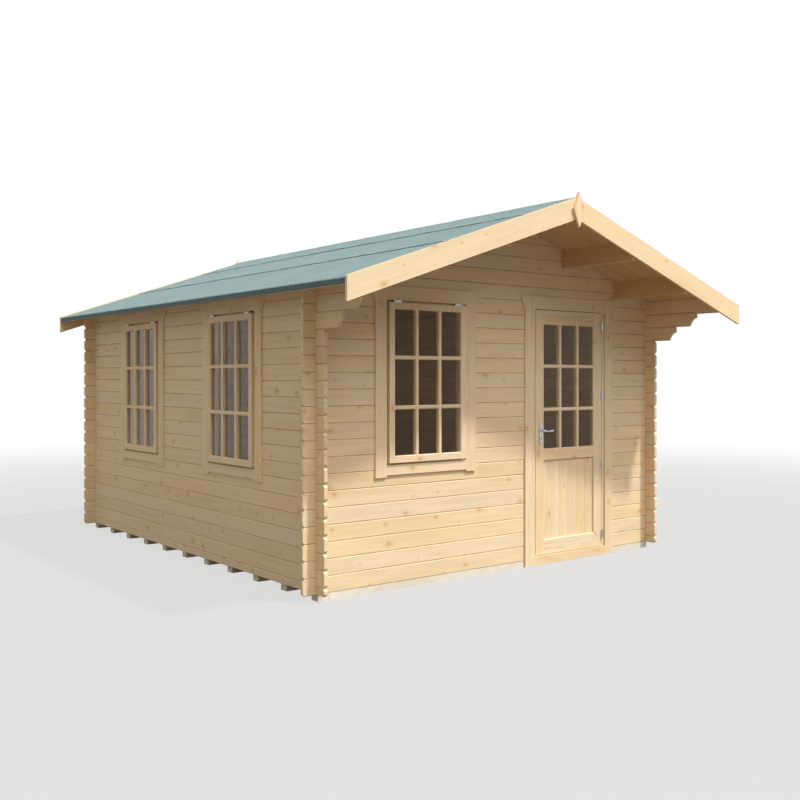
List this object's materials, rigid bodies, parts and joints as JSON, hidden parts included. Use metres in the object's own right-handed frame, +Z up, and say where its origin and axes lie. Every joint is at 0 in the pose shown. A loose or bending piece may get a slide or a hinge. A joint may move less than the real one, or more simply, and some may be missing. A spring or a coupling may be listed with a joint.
{
  "type": "log cabin",
  "caption": "Pitched-roof timber log cabin with interlocking log corners, felt roof with front overhang, glazed windows and a hinged half-glazed door.",
  "frame": {"origin": "on the ground, below the ridge and half way along the roof", "axes": "+Z up, -Y out of the front gable with the door, +X to the right seen from the front"},
  "size_m": [3.994, 5.1, 2.8196],
  "materials": {
    "pine_logs": "untreated planed pine logs with knots",
    "pine_joinery": "untreated planed pine boards",
    "roof_boards": "planed pine boards and purlins",
    "floor_boards": "planed pine floor boards",
    "bearer_timber": "sawn pale grey timber",
    "mineral_felt": "teal grey mineral roofing felt",
    "glass": "clear glazing",
    "satin_metal": "satin metal"
  },
  "bodies": {
    "cabin": {"back_barge_board_left": "pine_joinery", "back_barge_board_right": "pine_joinery", "back_finial": "pine_joinery", "back_gable": "pine_logs", "back_wall": "pine_logs", "bearers": "bearer_timber", "door_casing": "pine_joinery", "door_frame": "pine_joinery", "eave_board_left": "pine_joinery", "eave_board_right": "pine_joinery", "floor": "floor_boards", "front_barge_board_left": "pine_joinery", "front_barge_board_right": "pine_joinery", "front_finial": "pine_joinery", "front_gable": "pine_logs", "front_wall_left": "pine_logs", "front_wall_right": "pine_logs", "front_window_casing": "pine_joinery", "front_window_frame": "pine_joinery", "front_window_glass": "glass", "front_window_sash": "pine_joinery", "hinge_frame_knuckles": "satin_metal", "left_back_window_casing": "pine_joinery", "left_back_window_frame": "pine_joinery", "left_back_window_glass": "glass", "left_back_window_sash": "pine_joinery", "left_front_window_casing": "pine_joinery", "left_front_window_frame": "pine_joinery", "left_front_window_glass": "glass", "left_front_window_sash": "pine_joinery", "left_wall": "pine_logs", "ridge_felt": "mineral_felt", "ridge_purlin": "roof_boards", "right_wall": "pine_logs", "roof_deck_left": "roof_boards", "roof_deck_right": "roof_boards", "roof_felt_left": "mineral_felt", "roof_felt_right": "mineral_felt", "side_purlins": "roof_boards"},
    "door": {"door_leaf": "pine_joinery", "door_glass": "glass", "door_panel": "pine_joinery", "hinge_leaf_knuckles": "satin_metal", "handle_plates": "satin_metal"},
    "lever": {"door_lever": "satin_metal"}
  },
  "joints": [
    {"name": "door_hinge", "type": "hinge", "parent": "cabin", "child": "door", "pos_m": [1.126, -1.7925, 1], "axis": [0, 0, 1], "range_deg": [0, 135]},
    {"name": "lever_pivot", "type": "hinge", "parent": "door", "child": "lever", "pos_m": [0.3935, -1.785, 1.072], "axis": [0, 1, 0], "range_deg": [0, 40], "stiffness_Nm_per_rad": 1.5, "springref_deg": -17.19}
  ]
}
